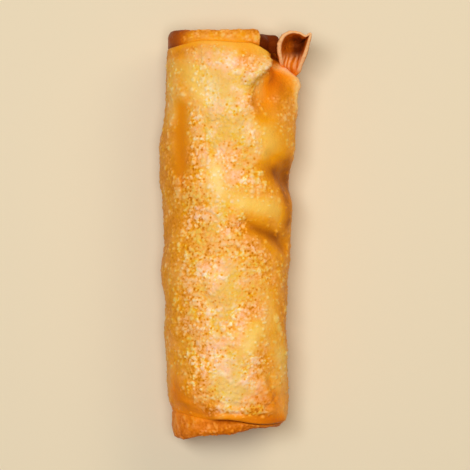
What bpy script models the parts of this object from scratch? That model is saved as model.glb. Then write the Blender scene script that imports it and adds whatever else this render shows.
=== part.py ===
"""A fried spring roll, lying on its seam with its length along Y and its underside at z = 0."""

import math

import bmesh
import bpy
import numpy as np
from mathutils import Vector, noise

MM = 0.001
TURN = 2 * math.pi

# The whole roll. Everything below is worked out from these.
LENGTH = 122 * MM
WIDTH = 38 * MM
HEIGHT = 30.5 * MM
SHEET = 1.3 * MM  # one fried layer of the wrapper

# The origin is the middle of the outline, which the curled corner puts to the right of the axis.
ORIGIN = Vector((2.5, -0.15, 0.0)) * MM

# The outer wrap: a rounded-square section, slimmer towards its ends and swaying a little.
SQUARENESS = 2.35
AXIS_HEIGHT = 0.47 * HEIGHT
FLAT_DEPTH = 0.5 * MM  # how far the section is pressed flat where it rests
TAPER = 0.075
SWAY = -0.5 * MM
SWAY_BOTTOM = 0.6 * MM
TOP_EDGE = 0.5 * LENGTH - 3.8 * MM
TOP_EDGE_LEFT = 1.4 * MM  # how much shorter the wrap is on the left flank
TOP_EDGE_RIGHT = 3.2 * MM  # and where its upper right corner pulled back
BOTTOM_EDGE = -0.5 * LENGTH + 6.0 * MM
BOTTOM_EDGE_LEFT = 2.0 * MM  # how much shorter it is on the left flank
BOTTOM_EDGE_RIGHT = 0.9 * MM  # and how much longer on the right
EDGE_WAVE = 0.35 * MM
CLING_REACH = 4.5 * MM  # how far from its edge the wrap begins to draw in to the sheet below,
CLING_FULL = 0.4 * MM  # and from where on it lies against it
CLING_GAP = 0.12 * MM
SEAM_ANGLE = math.radians(-42)  # the wrap's free edge, low on the right flank
SEAM_RISE = math.radians(24)  # and how much higher it runs at the two ends
SHOULDER_CUT = 2.1 * MM  # what is missing where the free corner has curled away
SHOULDER_FROM, SHOULDER_TO = 46.0 * MM, 50.5 * MM

# Ridges and dents in the wrap: each runs between two places on it, given as an angle round the
# axis in degrees and a distance along it, with its height (a dent is below 0) and its reach.
FOLDS = (
    ((180, 26 * MM), (180, 18 * MM), 1.5 * MM, 6.0 * MM),  # filling, left flank
    ((180, -10 * MM), (180, -12 * MM), 1.3 * MM, 5.0 * MM),  # filling, left flank
    ((10, 40 * MM), (5, 27 * MM), 1.9 * MM, 7.5 * MM),  # filling, right flank
    ((5, 12 * MM), (5, -2 * MM), 0.8 * MM, 7.0 * MM),  # filling, right flank
    ((42, 9 * MM), (15, 7 * MM), 0.9 * MM, 4.5 * MM),  # lobe between the two right-hand dents
    ((38, 20 * MM), (20, 17 * MM), -1.5 * MM, 3.8 * MM),  # dimple, right shoulder
    ((20, 16.5 * MM), (6, 14 * MM), -1.0 * MM, 3.4 * MM),  # and its deeper end, down the flank
    ((68, 2.5 * MM), (20, -3 * MM), -1.7 * MM, 2.8 * MM),  # crease below the lobe
    ((139, 37 * MM), (138, 20 * MM), -0.9 * MM, 3.6 * MM),  # long hollow, left shoulder
    ((158, 44 * MM), (140, 41 * MM), 0.6 * MM, 3.0 * MM),  # fold above that hollow
    ((150, 6 * MM), (120, 3 * MM), -0.6 * MM, 4.0 * MM),  # waist on the left
    ((42, 51 * MM), (65, 46 * MM), 1.5 * MM, 1.9 * MM),  # ridge pulled up by the curled corner
    ((65, 46 * MM), (66, 40 * MM), 0.7 * MM, 2.2 * MM),  # and its tail
    ((46, 41 * MM), (26, 49.5 * MM), -1.8 * MM, 4.8 * MM),  # hollow under that ridge
    ((12, 46 * MM), (5, 37 * MM), 1.3 * MM, 3.0 * MM),  # rim of the hollow, right flank
    ((12, 49 * MM), (6, 45 * MM), 2.6 * MM, 2.6 * MM),  # where the sheet lifts off into the curl
    ((100, 48 * MM), (90, 38 * MM), 0.5 * MM, 7.0 * MM),  # filling, near the top end
    ((95, -46 * MM), (80, -36 * MM), 0.7 * MM, 7.0 * MM),  # filling, near the bottom end
    ((62, -33 * MM), (58, -28 * MM), 0.9 * MM, 4.5 * MM),  # filling, lower right
    ((150, -38 * MM), (128, -31 * MM), -0.6 * MM, 3.5 * MM),  # shallow crease, lower left
    ((40, -43 * MM), (24, -49 * MM), -0.8 * MM, 3.0 * MM),  # puckered corner, bottom right
    ((0, -28 * MM), (-4, -41 * MM), -0.7 * MM, 6.0 * MM),  # slimmer, lower right
    ((215, 30 * MM), (200, -20 * MM), -0.6 * MM, 6.0 * MM),  # slimmer, low on the left
)
UNEVEN = 0.5 * MM  # the wrap's general waviness
UNEVEN_SIZE = 13 * MM
SEED = Vector((3.1, 7.7, 1.9))

# The tucked ends: the inner turns stand out of the wrap and fold in over the filling.
# Each end has its own width to the left and right of the axis, against the wrap's.
TOP, BOTTOM = 1, -1
END_LEFT = {TOP: -0.6 * MM, BOTTOM: -1.6 * MM}
END_RIGHT = {TOP: -1.4 * MM, BOTTOM: -1.2 * MM}
END_CROWN = {TOP: -0.6 * MM, BOTTOM: -1.6 * MM}
END_UNDER = -0.6 * MM
END_ROUND = 2.4 * MM  # how far from its tip the rim begins to round over
END_CORNER = 1.5 * MM  # and how far it comes in on the way
CREVICE = 0.4 * MM  # how far the inner turns fall back just under the wrap's edge,
CREVICE_RIGHT = {TOP: 2.1 * MM, BOTTOM: 0.5 * MM}  # and how much further on the right
END_MIDDLE = 0.5 * LENGTH - 2.4 * MM
END_HOLLOW = 2.4 * MM
BOTTOM_SLANT = 4.0 * MM  # the bottom end reaches furthest on the left
TOP_STEP = 1.1 * MM  # and the top one stops short at the upper right,
TOP_NOTCH = 3.0 * MM  # where only the layer below reaches the end
RIM_WAVE = 0.3 * MM
SPIRAL_PITCH = 0.32  # of the end's radius
SPIRAL_DEPTH = 1.3 * MM

# The curled corner of the wrapper: a little scoop of sheet that rises from the right shoulder.
# Its rim, from the very corner on round: across, along, up and how thick the sheet is, in mm.
CURL_RIM = (
    (24.9, 59.4, 27.6, 0.7),
    (23.3, 58.8, 27.0, 0.6),
    (21.6, 59.7, 26.6, 0.6),
    (19.3, 60.0, 26.0, 0.6),
    (17.1, 59.1, 25.2, 0.7),
    (15.9, 57.1, 24.2, 0.8),
    (15.7, 54.6, 22.8, 0.9),
    (16.2, 52.4, 21.2, 1.1),
    (16.6, 50.6, 19.0, 1.2),
    (17.6, 48.8, 17.4, 1.2),
    (19.4, 47.8, 17.2, 1.2),
    (21.1, 48.4, 19.5, 1.2),
    (22.1, 50.6, 21.6, 1.2),
    (23.0, 52.8, 23.4, 1.2),
    (23.8, 55.2, 25.0, 1.1),
    (24.4, 57.4, 26.6, 0.9),
)
CURL_BED = np.array((20.4, 56.2)) * MM
# The height of its floor along the roll, in mm.
CURL_FLOOR = ((47, 18.2), (49, 20.3), (51, 20.5), (53, 18.9), (56, 16.0), (60, 15.6))
CURL_STEEP = 3.5  # how suddenly the floor turns up into the walls
CURL_KEEL = np.array((17.5, 44.5, 14.0)) * MM  # where the outside runs together, inside the roll
CURL_KEEL_SIZE = 0.3
CURL_KEEL_TILT = 0.6  # the far side of the rim comes in below the near side

# How finely the solid is cut.
AROUND = 60
ALONG = 45
FACE_ROWS = 12
ROUND_ROWS = 4
CURL_AROUND = 32
CURL_ROWS = 8


def smooth(low, high, value):
    """0 below low, 1 above high, and an even S between them."""
    t = np.clip((value - low) / (high - low), 0, 1)
    return t * t * (3 - 2 * t)


def section_radius(angle, left, right, up, down):
    """The outline of a rounded-square section, as a distance from its axis along each angle."""
    across = np.abs(np.cos(angle) / np.where(np.cos(angle) > 0, right, left))
    upright = np.abs(np.sin(angle) / np.where(np.sin(angle) > 0, up, down))
    return (across**SQUARENESS + upright**SQUARENESS) ** (-1 / SQUARENESS)


def slimness(y):
    return 1 - TAPER * np.abs(y / (0.5 * LENGTH)) ** 3


def around_axis(radius, angle, y):
    """Points at a distance and an angle round the roll's own axis, which sways with y."""
    sway = SWAY + SWAY_BOTTOM * smooth(-0.3, -0.85, y / (0.5 * LENGTH))
    return np.stack([sway + radius * np.cos(angle), y, AXIS_HEIGHT + radius * np.sin(angle)], axis=-1)


def seam_angle(y):
    return SEAM_ANGLE + SEAM_RISE * np.abs(y / (0.5 * LENGTH)) ** 1.6


def turn_share(angle, y):
    """How far round the wrap a place is: 0 just under the free edge, 1 just above it."""
    return np.mod(seam_angle(y) - angle, TURN) / TURN


def folds_at(angle, y):
    """The height that the ridges and dents add at each place."""
    arc = 0.5 * WIDTH
    height = np.zeros_like(angle)
    for (angle_a, y_a), (angle_b, y_b), rise, reach in FOLDS:
        start = np.array([math.radians(angle_a) * arc, y_a])
        run = np.array([math.radians(angle_b) * arc, y_b]) - start
        for turn in (-TURN, 0.0, TURN):
            du = (angle + turn) * arc - start[0]
            dv = y - start[1]
            share = np.clip((du * run[0] + dv * run[1]) / (run @ run), 0, 1)
            gap = np.hypot(du - share * run[0], dv - share * run[1])
            height = height + rise * np.exp(-((gap / reach) ** 2))
    return height


def unevenness(points):
    """A soft, seeded waviness for each point."""
    waves = []
    for point in points:
        place = Vector(point) / UNEVEN_SIZE + SEED
        waves.append(noise.noise(place) + 0.4 * noise.noise(2.5 * place))
    return UNEVEN * np.array(waves)


def wrap_edge(side, angle):
    """Where the outer wrap stops along Y, at each angle."""
    right = np.cos(angle)
    if side == TOP:
        shorter = TOP_EDGE_LEFT * smooth(-0.4, -0.95, right) + TOP_EDGE_RIGHT * smooth(0.45, 0.85, right)
        return TOP_EDGE - shorter + EDGE_WAVE * np.cos(3 * angle)
    shorter = BOTTOM_EDGE_LEFT * smooth(-0.3, -0.9, right) - BOTTOM_EDGE_RIGHT * smooth(-0.2, 0.7, right)
    return BOTTOM_EDGE + shorter + EDGE_WAVE * np.cos(4 * angle)


def parted(side, angle):
    """1 where the wrap's edge gapes a little over the tucked end, 0 where it clings to it."""
    right = np.cos(angle)
    if side == TOP:
        return 0.2 + 0.8 * smooth(0.35, 0.62, right)
    return smooth(-0.42, -0.12, right)


def top_notch(angle):
    """1 at the upper right of the top end, where the folded sheet stops short, and 0 elsewhere."""
    return smooth(0.65, 0.73, np.cos(angle)) * smooth(0.10, 0.34, np.sin(angle))


def top_short(angle):
    """1 all down the right of the top end, where only the layer below is left, and 0 elsewhere."""
    return smooth(0.65, 0.73, np.cos(angle)) * smooth(-0.5, -0.2, np.sin(angle))


def tuck_radius(side, angle, y):
    """The distance of a tucked end's outside from the axis."""
    slim = slimness(y)
    left = 0.5 * WIDTH * slim + END_LEFT[side]
    right = 0.5 * WIDTH * slim + END_RIGHT[side]
    crown = (HEIGHT - AXIS_HEIGHT) * slim + END_CROWN[side]
    radius = section_radius(angle, left, right, crown, AXIS_HEIGHT + END_UNDER)
    if side == TOP:
        radius = radius - TOP_NOTCH * top_notch(angle)
    return radius


def wrap_row(angle, y, lowered=0.0):
    """Places on the outer wrap, at each angle round the axis and distance along it."""
    slim = slimness(y)
    half = (0.5 * WIDTH - SHEET) * slim
    crown = (HEIGHT - AXIS_HEIGHT - 0.5 * SHEET) * slim
    radius = section_radius(angle, half, half, crown, AXIS_HEIGHT + FLAT_DEPTH) + SHEET * turn_share(angle, y)
    shoulder = smooth(SHOULDER_FROM, SHOULDER_TO, y) * smooth(0.72, 0.95, np.cos(angle))
    radius = radius - SHOULDER_CUT * shoulder
    place = np.stack([radius * np.cos(angle), y, radius * np.sin(angle)], axis=-1)
    radius = radius + folds_at(angle, y) + unevenness(place)
    for side in (TOP, BOTTOM):
        to_edge = side * (wrap_edge(side, angle) - y)
        cling = (1 - parted(side, angle)) * smooth(CLING_REACH, CLING_FULL, to_edge)
        radius = radius + cling * (tuck_radius(side, angle, y) + CLING_GAP - radius)
    return around_axis(radius - lowered, angle, y)


def end_tip(side, angle):
    """How far out along Y each part of an end's rim reaches."""
    right = np.cos(angle)
    if side == BOTTOM:
        return 0.5 * LENGTH - BOTTOM_SLANT * 0.5 * (1 + right) + RIM_WAVE * np.sin(5 * angle)
    return 0.5 * LENGTH - TOP_STEP * top_short(angle) - RIM_WAVE * (1 - np.sin(3 * angle))


def end_row(side, angle, share, inward, out):
    """A ring of the inner turns at an end, `out` along Y, shrunk by a share and then drawn inward."""
    return around_axis(share * tuck_radius(side, angle, side * out) - inward, angle, side * out)


def end_rows(side, angle):
    """Rings from the wrap's edge over an end's rim to its middle, and the middle itself."""
    edge = side * wrap_edge(side, angle)
    tip = end_tip(side, angle)
    shortest = 0.6 * MM
    crevice = CREVICE * (0.2 + 0.8 * parted(side, angle))
    crevice = crevice + CREVICE_RIGHT[side] * smooth(0.1, 0.5, np.cos(angle))
    rows = [end_row(side, angle, 1.0, crevice, edge)]
    rows.append(end_row(side, angle, 1.0, 0.0, np.maximum(tip - END_ROUND, edge + shortest)))
    for k in range(1, ROUND_ROWS + 1):
        bend = 0.25 * TURN * k / ROUND_ROWS
        out = np.maximum(tip - END_ROUND * (1 - math.sin(bend)), edge + 1.1 * shortest)
        rows.append(end_row(side, angle, 1.0, END_CORNER * (1 - math.cos(bend)), out))
    turned = turn_share(angle, side * edge)
    for k in range(1, FACE_ROWS):
        share = 1 - k / FACE_ROWS
        fold = 0.5 - 0.5 * np.cos(TURN * ((1 - share) / SPIRAL_PITCH - turned))
        sink = SPIRAL_DEPTH * fold * smooth(1.0, 0.85, share) * smooth(0.1, 0.35, share)
        sink = sink + END_HOLLOW * (1 - share**2) ** 1.5
        out = share * tip + (1 - share) * END_MIDDLE - sink
        rows.append(end_row(side, angle, share, END_CORNER * share, out))
    middle = around_axis(0.0, 0.0, np.array(side * (END_MIDDLE - END_HOLLOW)))
    return rows, middle


def roll_rows():
    """Every ring of the closed body, and the middles of its bottom and top ends."""
    hug = 0.004  # the first and last columns stand just under and just above the free edge
    share = hug + (1 - 2 * hug) * np.arange(AROUND) / (AROUND - 1)
    low_angle = seam_angle(BOTTOM_EDGE) - TURN * share
    high_angle = seam_angle(TOP_EDGE) - TURN * share
    bottom, bottom_middle = end_rows(BOTTOM, low_angle)
    top, top_middle = end_rows(TOP, high_angle)
    low, high = wrap_edge(BOTTOM, low_angle), wrap_edge(TOP, high_angle)
    round_over = 0.35 * SHEET
    rows = list(reversed(bottom))
    rows.append(wrap_row(low_angle, low, 0.5 * SHEET * parted(BOTTOM, low_angle)))
    for k in range(ALONG + 1):
        y = low + round_over + (high - low - 2 * round_over) * k / ALONG
        rows.append(wrap_row(seam_angle(y) - TURN * share, y))
    rows.append(wrap_row(high_angle, high, 0.5 * SHEET * parted(TOP, high_angle)))
    rows.extend(top)
    for row in rows:
        row[:, 2] = np.maximum(row[:, 2], 0.0)  # pressed flat where it rests
    return rows, bottom_middle, top_middle


def curl_rim():
    """The curl's rim as one smooth loop: its middle line seen from above, its height and thickness."""
    knots = np.array(CURL_RIM) * MM
    at = np.arange(CURL_AROUND) * len(knots) / CURL_AROUND
    k = at.astype(int)
    t = (at - k)[:, None]
    a, b, c, d = (knots[(k + step) % len(knots)] for step in (-1, 0, 1, 2))
    loop = b + 0.5 * t * (c - a + t * (2 * a - 5 * b + 4 * c - d + t * (3 * (b - c) + d - a)))
    return loop[:, :2], loop[:, 2:3], loop[:, 3:]


def curl_rows():
    """The curl's outer skin up to its rim, and the inner one down to its bed, with their middles."""
    line, height, thick = curl_rim()
    run = np.roll(line, -1, axis=0) - np.roll(line, 1, axis=0)
    outward = np.stack([-run[:, 1], run[:, 0]], axis=1) / np.linalg.norm(run, axis=1, keepdims=True)
    if ((line - CURL_BED) * outward).sum() < 0:
        outward = -outward
    outer = line + 0.5 * thick * outward
    inner = line - 0.5 * thick * outward
    from_bed = line - CURL_BED
    keel = CURL_KEEL[:2] + CURL_KEEL_SIZE * from_bed * (1, 0)
    keel_up = CURL_KEEL[2] - CURL_KEEL_TILT * (from_bed[:, 1:] - from_bed[:, 1:].mean())
    rows = []
    for k in range(CURL_ROWS + 1):
        t = k / CURL_ROWS
        place = outer + (1 - t) ** 3 * (keel - outer)
        rows.append(np.concatenate([place, keel_up + t * t * (height - keel_up)], axis=1))
    floor_along, floor_height = (np.array(part) * MM for part in zip(*CURL_FLOOR))
    for k in range(CURL_ROWS):
        t = 1 - k / CURL_ROWS
        place = CURL_BED + (inner - CURL_BED) * t
        floor = np.interp(place[:, 1:], floor_along, floor_height)
        rows.append(np.concatenate([place, floor + (height - floor) * t**CURL_STEEP], axis=1))
    bed = (*CURL_BED, np.interp(CURL_BED[1], floor_along, floor_height))
    return rows, CURL_KEEL, bed


def closed_solid(name, rows, first_middle, last_middle):
    """An object whose skin joins each ring of points to the next, and the end rings to their middles."""
    made = bmesh.new()
    rings = [[made.verts.new(Vector(point)) for point in row] for row in rows]
    for lower, upper in zip(rings, rings[1:]):
        for i in range(len(lower)):
            k = (i + 1) % len(lower)
            made.faces.new((lower[i], lower[k], upper[k], upper[i]))
    for middle, ring in ((first_middle, rings[0]), (last_middle, rings[-1])):
        centre = made.verts.new(Vector(middle))
        for i in range(len(ring)):
            made.faces.new((centre, ring[i], ring[(i + 1) % len(ring)]))
    bmesh.ops.recalc_face_normals(made, faces=made.faces)
    mesh = bpy.data.meshes.new(name)
    made.to_mesh(mesh)
    made.free()
    solid = bpy.data.objects.new(name, mesh)
    solid.location = -ORIGIN
    bpy.context.scene.collection.objects.link(solid)
    return solid


def fried_wrapper():
    material = bpy.data.materials.new("fried_wrapper")
    material.use_nodes = True
    shader = material.node_tree.nodes["Principled BSDF"]
    shader.inputs["Base Color"].default_value = (0.72, 0.34, 0.06, 1)
    shader.inputs["Roughness"].default_value = 0.42
    shader.inputs["Metallic"].default_value = 0.0
    return material


def spring_roll():
    """The rolled body, with the curled corner of its wrapper grown onto the right shoulder."""
    roll = closed_solid("spring_roll", *roll_rows())
    curl = closed_solid("curled_corner", *curl_rows())
    curl.hide_render = True
    curl.display_type = "WIRE"
    join = roll.modifiers.new("join the curled corner", "BOOLEAN")
    join.operation = "UNION"
    join.solver = "EXACT"
    join.object = curl
    roll.data.materials.append(fried_wrapper())
    roll.data.shade_smooth()


for old in list(bpy.data.objects):
    bpy.data.objects.remove(old)
spring_roll()
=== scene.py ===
"""A fried spring roll on a pale table, seen from straight above."""

import math

import bmesh
import bpy
import numpy as np
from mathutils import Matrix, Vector, noise


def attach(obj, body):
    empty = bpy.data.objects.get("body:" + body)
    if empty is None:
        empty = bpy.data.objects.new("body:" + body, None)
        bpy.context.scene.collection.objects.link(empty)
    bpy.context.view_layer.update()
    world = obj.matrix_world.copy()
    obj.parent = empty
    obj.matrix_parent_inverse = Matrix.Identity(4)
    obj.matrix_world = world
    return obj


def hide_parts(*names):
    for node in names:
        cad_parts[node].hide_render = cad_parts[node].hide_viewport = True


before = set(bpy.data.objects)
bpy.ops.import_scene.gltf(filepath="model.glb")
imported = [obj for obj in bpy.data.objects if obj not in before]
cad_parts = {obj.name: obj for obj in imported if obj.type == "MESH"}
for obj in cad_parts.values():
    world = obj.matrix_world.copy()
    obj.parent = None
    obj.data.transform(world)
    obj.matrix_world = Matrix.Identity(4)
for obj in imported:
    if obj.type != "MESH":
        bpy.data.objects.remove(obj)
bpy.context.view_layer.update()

# The camera stands straight above the roll, as over a laid plate, and so far off that the roll's
# sides hardly splay. The end with the curled corner is at the top of the picture.
MM = 0.001
LENGTH = 122 * MM
MIDDLE_HEIGHT = 15 * MM  # the roll's middle, above the table
CAMERA_HEIGHT = 950 * MM  # above that middle
CAMERA_FILM = 36.0  # Blender states the film and the lens in mm
PICTURE_HEIGHT = 141 * MM  # what the picture takes in at the height of the roll's middle

lens = bpy.data.cameras.new("overhead_camera")
lens.sensor_fit = "VERTICAL"
lens.sensor_height = CAMERA_FILM
lens.lens = CAMERA_FILM * CAMERA_HEIGHT / PICTURE_HEIGHT
lens.clip_start = 10 * MM
overhead_camera = bpy.data.objects.new("overhead_camera", lens)
overhead_camera.location = (0, 0, CAMERA_HEIGHT + MIDDLE_HEIGHT)
bpy.context.scene.collection.objects.link(overhead_camera)
bpy.context.scene.camera = overhead_camera


# The outer wrap: the last turn of a wheat-flour sheet, rolled round the filling and sealed along
# its free edge low on the right flank. It is soft when rolled, so it takes the filling's lumps
# and creases between them, and deep frying sets it hard in that shape.
TURN = 2 * math.pi
WIDTH = 38 * MM
HEIGHT = 30.5 * MM
SHEET = 1.3 * MM
ORIGIN = np.array((2.5, -0.15, 0.0)) * MM  # the shared frame's origin, measured from the roll's axis
SQUARENESS = 2.35  # 2 is an ellipse, and more is squarer
AXIS_HEIGHT = 0.47 * HEIGHT
FLAT_DEPTH = 0.5 * MM  # how far its own weight presses it flat below
TAPER = 0.075
SWAY = -0.5 * MM  # how far right of the axis the roll's middle line runs
SWAY_BOTTOM = 0.6 * MM  # and how much further right at the bottom end
SWAY_SPAN = (-0.3, -0.85)  # it changes between these shares of the half length
TOP, BOTTOM = 1, -1
TOP_EDGE = 0.5 * LENGTH - 3.8 * MM
TOP_EDGE_LEFT = 1.4 * MM  # how much shorter the wrap is on the left flank
TOP_EDGE_RIGHT = 3.2 * MM  # and where its upper right corner pulled back
BOTTOM_EDGE = -0.5 * LENGTH + 6.0 * MM
BOTTOM_SLANT_LEFT = 2.0 * MM
BOTTOM_SLANT_RIGHT = 0.9 * MM
EDGE_WAVE = 0.35 * MM
CLING_REACH = 4.5 * MM  # how far from its edge the wrap begins to draw in to the sheet below
CLING_GAP = 0.12 * MM
SEAM_ANGLE = math.radians(-42)
SEAM_RISE = math.radians(24)
SEAM_WAVES = ((0.02, 40), (0.012, 97))  # how far the seam wanders, in radians, and how fast
SHOULDER_CUT = 2.1 * MM  # how much lower the right shoulder is where the corner lifted off it
SHOULDER_FROM, SHOULDER_TO = 46.0 * MM, 50.5 * MM
UNEVEN, UNEVEN_SIZE = 0.5 * MM, 13 * MM
UNEVEN_SMALLER = 0.4  # a second kind is so much smaller, in height and in size
FINE_UNEVEN, FINE_SIZE = 0.16 * MM, 2.6 * MM
WRINKLE, WRINKLE_SIZE = 0.3 * MM, 1.7 * MM
WRINKLE_DRAWN = 3.2  # how much longer the wrinkles are round the roll than along it
WRINKLE_REACH = 12 * MM  # how far from the wrap's ends they begin
SEED = Vector((3.1, 7.7, 1.9))

# Each fold runs between two places, an angle round the roll in degrees and a distance along it,
# and has a height, which is below 0 for a dent, and a reach.
FOLDS = (
    ((180, 26 * MM), (180, 18 * MM), 1.5 * MM, 6.0 * MM),  # filling, left flank
    ((180, -10 * MM), (180, -12 * MM), 1.3 * MM, 5.0 * MM),  # filling, left flank
    ((10, 40 * MM), (5, 27 * MM), 1.9 * MM, 7.5 * MM),  # filling, right flank
    ((5, 12 * MM), (5, -2 * MM), 0.8 * MM, 7.0 * MM),  # filling, right flank
    ((42, 9 * MM), (15, 7 * MM), 0.9 * MM, 4.5 * MM),  # lobe between the two right-hand dents
    ((38, 20 * MM), (20, 17 * MM), -1.5 * MM, 3.8 * MM),  # dimple, right shoulder
    ((20, 16.5 * MM), (6, 14 * MM), -0.7 * MM, 3.4 * MM),  # and its deeper end, down the flank
    ((68, 2.5 * MM), (20, -3 * MM), -1.7 * MM, 2.8 * MM),  # crease below the lobe
    ((139, 37 * MM), (138, 20 * MM), -0.9 * MM, 3.6 * MM),  # long hollow, left shoulder
    ((158, 44 * MM), (140, 41 * MM), 0.6 * MM, 3.0 * MM),  # fold above that hollow
    ((150, 6 * MM), (120, 3 * MM), -0.6 * MM, 4.0 * MM),  # waist on the left
    ((42, 51 * MM), (65, 46 * MM), 1.5 * MM, 1.9 * MM),  # ridge pulled up by the curled corner
    ((65, 46 * MM), (66, 40 * MM), 0.7 * MM, 2.2 * MM),  # and its tail
    ((46, 41 * MM), (26, 49.5 * MM), -1.8 * MM, 4.8 * MM),  # hollow under that ridge
    ((12, 46 * MM), (5, 37 * MM), 1.3 * MM, 3.0 * MM),  # rim of the hollow, right flank
    ((12, 49 * MM), (6, 45 * MM), 2.6 * MM, 2.6 * MM),  # where the sheet lifts off into the curl
    ((100, 48 * MM), (90, 38 * MM), 0.5 * MM, 7.0 * MM),  # filling, near the top end
    ((95, -46 * MM), (80, -36 * MM), 0.7 * MM, 7.0 * MM),  # filling, near the bottom end
    ((62, -33 * MM), (58, -28 * MM), 0.9 * MM, 4.5 * MM),  # filling, lower right
    ((150, -38 * MM), (128, -31 * MM), -0.6 * MM, 3.5 * MM),  # shallow crease, lower left
    ((40, -43 * MM), (24, -49 * MM), -0.8 * MM, 3.0 * MM),  # puckered corner, bottom right
    ((0, -28 * MM), (-4, -41 * MM), -0.7 * MM, 6.0 * MM),  # slimmer, lower right
    ((215, 30 * MM), (200, -20 * MM), -0.6 * MM, 6.0 * MM),  # slimmer, low on the left
)
# Finer creases of the same kind, which the frying sharpened.
CREASES = (
    ((168, 54 * MM), (118, 53.2 * MM), -0.3 * MM, 0.9 * MM),  # fold line under the top edge
    ((45, 24 * MM), (20, 21 * MM), -0.45 * MM, 1.1 * MM),  # pinch above the dimple
    ((30, 13 * MM), (8, 10.5 * MM), 0.15 * MM, 1.6 * MM),  # lip below the dimple
    ((88, 1.5 * MM), (64, 2.8 * MM), -0.35 * MM, 1.1 * MM),  # crease running on over the crown
    ((60, -3 * MM), (30, -7 * MM), -0.4 * MM, 1.2 * MM),  # its second line
    ((52, -43 * MM), (40, -50 * MM), 0.45 * MM, 1.1 * MM),  # puckers, bottom right
    ((38, -42 * MM), (26, -46 * MM), 0.45 * MM, 1.0 * MM),
    ((34, -48 * MM), (50, -52 * MM), -0.45 * MM, 0.9 * MM),
    ((118, -51.5 * MM), (92, -53 * MM), -0.3 * MM, 0.8 * MM),  # lines beside the bottom edge
    ((88, -50.5 * MM), (60, -51.5 * MM), -0.3 * MM, 0.8 * MM),
    ((84, -52.9 * MM), (44, -53.8 * MM), -0.45 * MM, 0.7 * MM),
    ((70, -51.6 * MM), (38, -52.0 * MM), 0.35 * MM, 0.8 * MM),
    ((152, -45 * MM), (118, -51 * MM), -0.45 * MM, 1.4 * MM),  # crease across the bottom left
    ((40, 46 * MM), (24, 50 * MM), 0.4 * MM, 1.0 * MM),  # pleats running into the curled corner
    ((32, 42 * MM), (18, 49 * MM), 0.35 * MM, 1.0 * MM),
    ((13, 49.5 * MM), (9, 38 * MM), 0.5 * MM, 0.7 * MM),  # the sheet's edge, right flank
    ((6, 31 * MM), (6, 23 * MM), 0.7 * MM, 4.5 * MM),  # fuller right flank above the dimple
    ((118, -12 * MM), (104, -22 * MM), -0.25 * MM, 1.5 * MM),  # faint creases on the crown
    ((70, 33 * MM), (52, 28 * MM), -0.3 * MM, 1.6 * MM),
)
# The sheet's cut edge, dry and floury, where it shows at the right outline.
FLOURY = (((12, 50 * MM), (8, 37.5 * MM), 0.75, 0.65 * MM),)
PLEAT_SPACING = 1.3 * MM
PLEATS_BEGIN = (47 * MM, 49.5 * MM)  # where along the roll the pleats grow
PLEATS_END = (54.5 * MM, 52 * MM)  # and fade again


def smooth(low, high, value):
    """0 below low, 1 above high, and an even S between them."""
    t = np.clip((value - low) / (high - low), 0, 1)
    return t * t * (3 - 2 * t)


def strokes(lines, angle, y):
    """What soft strokes drawn on the roll add up to at each place."""
    arc = 0.5 * WIDTH
    total = np.zeros_like(angle)
    for (angle_a, y_a), (angle_b, y_b), amount, reach in lines:
        start = np.array([math.radians(angle_a) * arc, y_a])
        run = np.array([math.radians(angle_b) * arc, y_b]) - start
        for turn in (-TURN, 0.0, TURN):
            du = (angle + turn) * arc - start[0]
            dv = y - start[1]
            share = np.clip((du * run[0] + dv * run[1]) / (run @ run), 0, 1)
            gap = np.hypot(du - share * run[0], dv - share * run[1])
            total = total + amount * np.exp(-((gap / reach) ** 2))
    return total


def waves(points, size, seed=SEED):
    """Soft seeded noise, about -1 to 1, for each point."""
    flat = points.reshape(-1, 3) / size
    values = [noise.noise(Vector(point) + seed) for point in flat]
    return np.array(values).reshape(points.shape[:-1])


def pleated(x, y):
    """The fine pleats that run into the curled corner, -1 to 1, seen from above."""
    bent = 0.35 * MM * np.sin(y / (1.1 * MM)) + 0.3 * MM * np.sin(x / (0.7 * MM))
    reach = smooth(*PLEATS_END, y) * smooth(*PLEATS_BEGIN, y)
    return np.sin(TURN * (x + bent) / PLEAT_SPACING) * reach


def rounded_square(angle, left, right, up, down):
    """The outline of a rounded-square section, as a distance from its axis along each angle."""
    across = np.abs(np.cos(angle) / np.where(np.cos(angle) > 0, right, left))
    upright = np.abs(np.sin(angle) / np.where(np.sin(angle) > 0, up, down))
    return (across**SQUARENESS + upright**SQUARENESS) ** (-1 / SQUARENESS)


def slimness(y):
    """How much of its full thickness the roll has at each place along it."""
    return 1 - TAPER * np.abs(y / (0.5 * LENGTH)) ** 3


def unbent(radius, angle, y):
    """Points at a distance and an angle round a straight axis, where the noise is read."""
    return np.stack([radius * np.cos(angle), y + 0 * radius, radius * np.sin(angle)], axis=-1)


def around_axis(radius, angle, y):
    """Points at a distance and an angle round the roll's own axis, pressed flat where it rests."""
    sway = SWAY + SWAY_BOTTOM * smooth(*SWAY_SPAN, y / (0.5 * LENGTH))
    points = unbent(radius, angle, y)
    points[..., 0] += sway
    points[..., 2] = np.maximum(points[..., 2] + AXIS_HEIGHT, 0.0)
    return points - ORIGIN


def seam_angle(y):
    """Where round the roll the wrap's free edge lies."""
    return SEAM_ANGLE + SEAM_RISE * np.abs(y / (0.5 * LENGTH)) ** 1.6


def turn_share(angle, y):
    """How far round the wrap a place is: 0 just under the free edge, 1 just above it."""
    return np.mod(seam_angle(y) - angle, TURN) / TURN


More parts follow.
